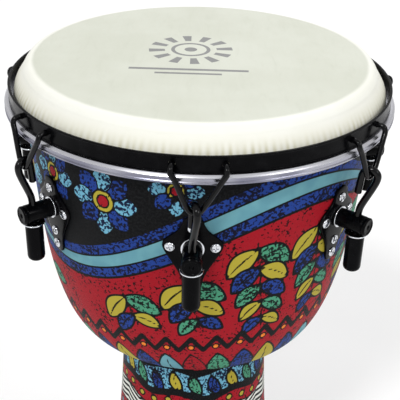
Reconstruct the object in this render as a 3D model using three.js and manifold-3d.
// Djembe with a mechanically tuned 12 inch head: a fabric-covered bowl and stem, a film head held down
// by an aluminium flesh hoop and a black counter hoop, and seven lugs that pull the counter hoop down.
// Millimetres, +Z up. The origin is on the drum's axis, on the floor. Lug 1 points to -Y.

import * as THREE from 'three';
import { mergeVertices } from 'three/addons/utils/BufferGeometryUtils.js';
import Module from 'manifold-3d';

const wasm = await Module();
wasm.setup();

// Driving dimensions
const HEIGHT = 610; // floor to playing surface
const LUGS = 7;
const FACETS = 42; // sides of every large turned piece, six to a lug
const GAP = 0.3; // between two pieces that touch

// Bowl and stem, as seen from outside
const RIM_R = 148.2;
const BOWL_TOP_Z = HEIGHT - 38.5;
const BOWL_REACH = 223.2; // depth at which the bowl's curve would meet the axis
const SIDE_POWER = 1.59; // how straight the side is
const BASE_POWER = 8.4; // how square the turn into the base is
const NECK_R = 70;
const FOOT_R = 98;
const FLARE_POWER = 1.4;
const WALL = 7;
const FABRIC = 0.9;
const SKIN = FABRIC + GAP;
const FABRIC_TOP_Z = BOWL_TOP_Z + 12; // the bowl's fabric ends behind the hoops

// Rubber foot
const FOOT_HEIGHT = 22;
const FOOT_LIP = 11; // height of its inner wall
const FOOT_WALL = 5;
const FOOT_SOLE = 3.7;

// Head and hoops
const LIP_Z = HEIGHT - 16.5; // top edge of the counter hoop
const FILM = 1;
const COUNTER_R = 162;
const COUNTER_HEIGHT = 13.1;
const BAND = 2;
const FLESH_R = 165.8;
const FLESH_INNER_R = 155;
const FLESH_HEIGHT = 7.4;
const SLOT_R = 157.6; // outside of the film's edge, in the flesh hoop's slot
const SLOT_DEPTH = 5;

// Lug plate and post
const PLATE_THICK = 2.2;
const PLATE_HALF = [ // right half of its outline: sideways, and below the lip
  [0, 56],
  [7, 58.5],
  [10.5, 66],
  [22.5, 80],
  [22, 87],
  [8.5, 113],
  [6.5, 122.5],
  [0, 126],
];
const SCREWS = [ // the same way
  [0, 65.8],
  [-17.3, 83.3],
  [17.3, 83.3],
  [0, 106.2],
  [0, 118.6],
];
const SCREW_HEAD_R = 4.1;
const SCREW_HEAD_HEIGHT = 2.4;
const POST_Z = LIP_Z - 83.5;
const POST_R = 7.75;
const POST_END_R = 176; // from the drum's axis
const TENSION_R = 165.5; // from the drum's axis to a hook's shank, its washer and its nut
const BORE_R = 3.4;
const WASHER_R = 9;
const WASHER_THICK = 1.2;
const RIVET_R = 4; // hole of the washer between plate and post
const NUT_R = 7.25;
const NUT_LENGTH = 34;
const NUT_FLOOR = 3;

// Hook and claw
const HOOK_R = 2.9;
const HOOK_SWING = 18; // degrees that its eye is turned sideways
const EYE_REACH = 5.3; // from the shank to the middle of the eye
const EYE_R = 6;
const EYE_Z = LIP_Z - 40.5;
const SHANK_END = 31.5; // below the middle of the post
const CLAW_R = 2.2;
const CLAW_Z = LIP_Z - 6.6; // where its ends go through the counter hoop
const CLAW_LEG_R = 168.8; // from the drum's axis, outside the flesh hoop
const CLAW_HALF = 6.7; // degrees from its middle to each end
const CLAW_TWIST = 1.2; // degrees that the counter hoop is turned from the lugs
const CLAW_BEND_R = HOOK_R + CLAW_R + 0.8; // its bottom bend, round the hook's eye

const BLACK_STEEL = { color: 0x17171a, roughness: 0.45, metalness: 0.6 };
const CHROME = { color: 0xd4d6da, roughness: 0.16, metalness: 1 };
const ALUMINIUM = { color: 0xb9babf, roughness: 0.3, metalness: 1 };
const PLASTIC = { color: 0x1c1c1e, roughness: 0.6, metalness: 0 };
const HEAD_FILM = { color: 0xe9e8dc, roughness: 0.5, metalness: 0 };
const RUBBER = { color: 0x161616, roughness: 0.85, metalness: 0 };
const RED_PRINT = { color: 0xb02028, roughness: 0.9, metalness: 0 };
const BLUE_PRINT = { color: 0x4b9fc0, roughness: 0.9, metalness: 0 };

const radians = THREE.MathUtils.degToRad;
const drum = new THREE.Group();

function add(name, geometry, look, parent = drum) {
  const mesh = new THREE.Mesh(geometry, new THREE.MeshStandardMaterial(look));
  mesh.name = name;
  parent.add(mesh);
  return mesh;
}

// A solid turned about Z from an outline of [radius, height] points, anticlockwise in that plane.
// The outline starts and ends on the axis, or it is closed here.
function turned(outline, facets = FACETS) {
  const line = outline[0][0] === 0 ? outline : [...outline, outline[0]];
  const points = line.map(([r, z]) => new THREE.Vector2(r, z));
  return new THREE.LatheGeometry(points, facets).rotateX(Math.PI / 2);
}

// Moves a line of [radius, height] points that runs down the outside towards the inside of the wall.
function inset(line, distance) {
  return line.map(([r, z], i) => {
    const [r0, z0] = line[Math.max(i - 1, 0)];
    const [r1, z1] = line[Math.min(i + 1, line.length - 1)];
    const length = Math.hypot(r1 - r0, z1 - z0);
    return [r + (distance * (z1 - z0)) / length, z - (distance * (r1 - r0)) / length];
  });
}

// The closed outline between a line moved by one distance and the line moved by another.
function layer(line, outer, inner) {
  return [...inset(line, outer).reverse(), ...inset(line, inner)];
}

function rod(curve, radius, steps) {
  const section = new THREE.Shape().absarc(0, 0, radius, 0, 2 * Math.PI);
  return new THREE.ExtrudeGeometry(section, { steps, curveSegments: 3, extrudePath: curve });
}

function solid(geometry) {
  const bare = geometry.clone();
  bare.deleteAttribute('normal');
  bare.deleteAttribute('uv');
  const merged = mergeVertices(bare, 1e-4);
  const vertProperties = new Float32Array(merged.attributes.position.array);
  const triVerts = new Uint32Array(merged.index.array);
  return new wasm.Manifold(new wasm.Mesh({ numProp: 3, vertProperties, triVerts }));
}

function geometryOf(manifold) {
  const { vertProperties, triVerts } = manifold.getMesh();
  const geometry = new THREE.BufferGeometry();
  geometry.setAttribute('position', new THREE.BufferAttribute(vertProperties, 3));
  geometry.setIndex(new THREE.BufferAttribute(triVerts, 1));
  geometry.computeVertexNormals();
  return geometry;
}

// A point at a distance from the drum's axis, an angle from the lug's direction, and a height.
function around(radius, degrees, z) {
  const angle = radians(degrees);
  return new THREE.Vector3(radius * Math.sin(angle), -radius * Math.cos(angle), z);
}

// ---- Bowl: a superellipse from the rim down to the neck

function bowlR(z) {
  const depth = Math.max(BOWL_TOP_Z - z, 0);
  return RIM_R * (1 - (depth / BOWL_REACH) ** SIDE_POWER) ** (1 / BASE_POWER);
}

function bowlLine(steps) {
  const deepest = BOWL_REACH * (1 - ((NECK_R + 0.6) / RIM_R) ** BASE_POWER) ** (1 / SIDE_POWER);
  return Array.from({ length: steps + 1 }, (_, i) => {
    const z = BOWL_TOP_Z - deepest * (1 - (1 - i / steps) ** 2);
    return [bowlR(z), z];
  });
}

const bowlSurface = [[RIM_R, FABRIC_TOP_Z], ...bowlLine(6)];
const neckZ = bowlSurface.at(-1)[1];
const bowlInside = inset(bowlLine(5), SKIN + WALL);
const bowlFloorZ = bowlInside.at(-1)[1];

function makeBowl() {
  const outside = inset(bowlSurface, SKIN).reverse();
  const throatR = NECK_R - SKIN + GAP;
  const edgeR = RIM_R - SKIN;
  const bearingEdge = [
    [edgeR - 0.4, LIP_Z + 9.5],
    [edgeR - 2, LIP_Z + 12.8],
    [edgeR - 4.5, LIP_Z + 14.1],
    [edgeR - WALL, LIP_Z + 12],
  ];
  const shell = [
    [throatR, outside[0][1]],
    ...outside,
    ...bearingEdge,
    ...bowlInside,
    [throatR, bowlFloorZ],
  ];
  add('bowl_shell', turned(shell), PLASTIC);
  add('bowl_fabric', turned(layer(bowlSurface, 0, FABRIC)), RED_PRINT);
}

// ---- Stem: nearly straight below the neck, flaring gently to the foot

function stemR(z) {
  return NECK_R + (FOOT_R - NECK_R) * Math.max(1 - z / neckZ, 0) ** FLARE_POWER;
}

function stemLine(bottomZ, steps, depth) {
  const topZ = neckZ - GAP;
  return Array.from({ length: steps + 1 }, (_, i) => {
    const z = topZ + ((bottomZ - topZ) * i) / steps;
    return [stemR(z) - depth, z];
  });
}

const stemBottomZ = FOOT_SOLE + GAP;

function makeStem() {
  const shell = [
    ...stemLine(stemBottomZ, 4, SKIN).reverse(),
    [NECK_R - SKIN, bowlFloorZ],
    [NECK_R - SKIN - WALL, bowlFloorZ],
    ...stemLine(stemBottomZ, 4, SKIN + WALL),
  ];
  add('stem_shell', turned(shell), PLASTIC);
  const skinEndZ = FOOT_HEIGHT + GAP;
  const skin = [...stemLine(skinEndZ, 4, 0).reverse(), ...stemLine(skinEndZ, 4, FABRIC)];
  add('stem_fabric', turned(skin), BLUE_PRINT);
}

function makeFoot() {
  const topR = stemR(FOOT_HEIGHT) - SKIN + GAP;
  const outerR = stemR(stemBottomZ) - SKIN + GAP;
  const innerR = stemR(FOOT_LIP) - SKIN - WALL - GAP;
  const foot = [
    [innerR - FOOT_WALL, 0],
    [outerR + FOOT_WALL - 1.5, 0],
    [outerR + FOOT_WALL, 2],
    [topR + FOOT_WALL - 1, FOOT_HEIGHT],
    [topR, FOOT_HEIGHT],
    [outerR, FOOT_SOLE],
    [innerR, FOOT_SOLE],
    [innerR, FOOT_LIP],
    [innerR - FOOT_WALL, FOOT_LIP],
  ];
  add('rubber_foot', turned(foot), RUBBER);
}

// ---- Head: a playing surface with a rounded shoulder, and a collar sloping out to the flesh hoop

function makeHead() {
  const shoulder = [
    [139.5, HEIGHT],
    [144.5, HEIGHT - 1.2],
    [148, HEIGHT - 5],
    [149, HEIGHT - 7],
  ];
  const disc = [
    [0, HEIGHT - FILM],
    ...inset(shoulder, FILM),
    ...shoulder.toReversed(),
    [0, HEIGHT],
  ];
  add('head_film', turned(disc), HEAD_FILM);
  const collar = [
    [149.2, HEIGHT - 7.4],
    [155.8, LIP_Z - 2],
    [SLOT_R, LIP_Z - 10],
    [SLOT_R, LIP_Z - COUNTER_HEIGHT - SLOT_DEPTH],
  ];
  add('head_collar', turned(layer(collar, 0, FILM)), HEAD_FILM);
}

function makeHoops() {
  const top = LIP_Z - COUNTER_HEIGHT - GAP;
  const bottom = top - FLESH_HEIGHT;
  const slot = top - SLOT_DEPTH;
  const flesh = [
    [FLESH_INNER_R, bottom],
    [FLESH_R - 1, bottom],
    [FLESH_R, bottom + 1],
    [FLESH_R, top - 0.8],
    [FLESH_R - 0.8, top],
    [SLOT_R + GAP, top],
    [SLOT_R + GAP, slot],
    [SLOT_R - FILM - GAP, slot],
    [SLOT_R - FILM - GAP, top],
    [FLESH_INNER_R, top - 1],
  ];
  add('flesh_hoop', turned(flesh), ALUMINIUM);

  const band = [
    [COUNTER_R - BAND, LIP_Z - COUNTER_HEIGHT],
    [COUNTER_R, LIP_Z - COUNTER_HEIGHT],
    [COUNTER_R, LIP_Z - 0.8],
    [COUNTER_R - 0.6, LIP_Z],
    [COUNTER_R - BAND, LIP_Z],
  ];
  let hoop = solid(turned(band));
  for (let lug = 0; lug < LUGS; lug += 1) {
    for (const side of [-1, 1]) {
      const angle = (lug * 360) / LUGS + CLAW_TWIST + side * CLAW_HALF;
      const hole = new THREE.CylinderGeometry(CLAW_R + 0.4, CLAW_R + 0.4, 4 * BAND, 6);
      hole.translate(0, -COUNTER_R, CLAW_Z).rotateZ(radians(angle));
      hoop = hoop.subtract(solid(hole));
    }
  }
  add('counter_hoop', geometryOf(hoop), BLACK_STEEL);
}

// ---- Lugs, each made pointing to -Y and turned into its place

function screwHead([sideways, below]) {
  const z = LIP_Z - below;
  const slope = Math.atan((bowlR(z + 1) - bowlR(z - 1)) / 2);
  const head = new THREE.CylinderGeometry(SCREW_HEAD_R * 0.6, SCREW_HEAD_R, SCREW_HEAD_HEIGHT, 7);
  const standing = bowlR(z) + GAP + PLATE_THICK + SCREW_HEAD_HEIGHT / 2 - 0.5;
  head.rotateX(Math.PI + slope).translate(0, -standing, z);
  return solid(head.rotateZ(Math.asin(sideways / standing)));
}

// A leaf-shaped plate bent to the bowl, with the heads of its five screws
function plateGeometry() {
  const left = PLATE_HALF.slice(1, -1).reverse().map(([x, below]) => [-x, below]);
  const outline = [...PLATE_HALF, ...left].map(([x, below]) => new THREE.Vector2(x, LIP_Z - below));
  const leaf = new THREE.ExtrudeGeometry(new THREE.Shape(outline), { depth: 60, bevelEnabled: false });
  leaf.rotateX(Math.PI / 2).translate(0, -110, 0);
  const skin = turned(layer(bowlSurface, -GAP - PLATE_THICK, -GAP));
  let plate = solid(leaf).intersect(solid(skin));
  for (const screw of SCREWS) plate = plate.add(screwHead(screw));
  return geometryOf(plate);
}

const plateFaceR = bowlR(POST_Z + WASHER_R) + GAP + PLATE_THICK;

function postGeometry() {
  const baseR = plateFaceR + GAP + WASHER_THICK + GAP;
  const length = POST_END_R - baseR;
  const post = new THREE.CylinderGeometry(POST_R, POST_R, length, 12);
  post.translate(0, -baseR - length / 2, POST_Z);
  const bore = new THREE.CylinderGeometry(BORE_R, BORE_R, 4 * POST_R, 8);
  bore.rotateX(Math.PI / 2).translate(0, -TENSION_R, POST_Z);
  return geometryOf(solid(post).subtract(solid(bore)));
}

function washerGeometry(holeR) {
  const ring = [
    [holeR, 0],
    [WASHER_R, 0],
    [WASHER_R, WASHER_THICK],
    [holeR, WASHER_THICK],
  ];
  return turned(ring, 12);
}

// A long blind nut, with its open end at the origin
function nutGeometry() {
  const nut = [
    [0, -NUT_LENGTH],
    [NUT_R - 2.5, -NUT_LENGTH],
    [NUT_R, 3 - NUT_LENGTH],
    [NUT_R, 0],
    [BORE_R, 0],
    [BORE_R, NUT_FLOOR - NUT_LENGTH],
    [0, NUT_FLOOR - NUT_LENGTH],
  ];
  return turned(nut, 10);
}

// A straight threaded shank bent outward to a teardrop eye; its end comes back down beside the shank
function hookGeometry() {
  const swing = radians(HOOK_SWING);
  const at = (out, z) => new THREE.Vector3(out * Math.sin(swing), -out * Math.cos(swing), z);
  const onEye = (degrees) =>
    at(EYE_REACH + EYE_R * Math.cos(radians(degrees)), EYE_Z + EYE_R * Math.sin(radians(degrees)));
  const bend = at(0, POST_Z + 10);
  const hook = new THREE.CurvePath();
  hook.add(new THREE.LineCurve3(at(0, POST_Z - SHANK_END), bend));
  hook.add(
    new THREE.CatmullRomCurve3([
      bend,
      at(0.8, POST_Z + 15),
      ...[-20, 25, 70, 115, 160].map(onEye),
      at(EYE_REACH - EYE_R - 1.2, EYE_Z - 9),
      at(EYE_REACH - EYE_R - 1.8, EYE_Z - 16),
    ]),
  );
  return rod(hook, HOOK_R, 25).translate(0, -TENSION_R, 0);
}

// A V of rod: its ends go through the counter hoop, its legs pass outside the flesh hoop, and its
// bottom bend goes through the hook's eye
function clawGeometry() {
  const swing = radians(HOOK_SWING);
  const middle = new THREE.Vector3(
    EYE_REACH * Math.sin(swing),
    -TENSION_R - EYE_REACH * Math.cos(swing),
    EYE_Z + EYE_R,
  );
  const leg = (side) => {
    const angle = CLAW_TWIST + side * CLAW_HALF;
    const bend = 4;
    return [
      around(COUNTER_R - BAND - 1, angle, CLAW_Z),
      around(CLAW_LEG_R - bend, angle, CLAW_Z),
      around(CLAW_LEG_R - bend * 0.3, angle, CLAW_Z - bend * 0.3),
      around(CLAW_LEG_R, angle, CLAW_Z - bend),
      around(CLAW_LEG_R + 0.4, angle - side, CLAW_Z - bend - 5),
    ];
  };
  const bottom = [-150, -120, -90, -60, -30].map((degrees) => {
    const angle = radians(degrees);
    const across = new THREE.Vector3(CLAW_BEND_R * Math.cos(angle), 0, CLAW_BEND_R * Math.sin(angle));
    return across.add(middle);
  });
  const points = [...leg(-1), ...bottom, ...leg(1).reverse()];
  return rod(new THREE.CatmullRomCurve3(points), CLAW_R, 28);
}

function makeLugs() {
  const washerZ = POST_Z - POST_R - GAP - WASHER_THICK;
  const plate = plateGeometry();
  const post = postGeometry();
  const postWasher = washerGeometry(RIVET_R).rotateX(Math.PI / 2).translate(0, -plateFaceR - GAP, POST_Z);
  const washer = washerGeometry(BORE_R);
  const nut = nutGeometry();
  const hook = hookGeometry();
  const claw = clawGeometry();
  for (let i = 0; i < LUGS; i += 1) {
    const lug = new THREE.Group();
    lug.rotation.z = (i * 2 * Math.PI) / LUGS;
    drum.add(lug);
    add(`lug_plate_${i + 1}`, plate, BLACK_STEEL, lug);
    add(`post_washer_${i + 1}`, postWasher, CHROME, lug);
    add(`lug_post_${i + 1}`, post, BLACK_STEEL, lug);
    add(`tension_washer_${i + 1}`, washer, CHROME, lug).position.set(0, -TENSION_R, washerZ);
    add(`tension_nut_${i + 1}`, nut, BLACK_STEEL, lug).position.set(0, -TENSION_R, washerZ - GAP);
    add(`tension_hook_${i + 1}`, hook, BLACK_STEEL, lug);
    add(`claw_${i + 1}`, claw, BLACK_STEEL, lug);
  }
}

makeBowl();
makeStem();
makeFoot();
makeHead();
makeHoops();
makeLugs();

export default drum;
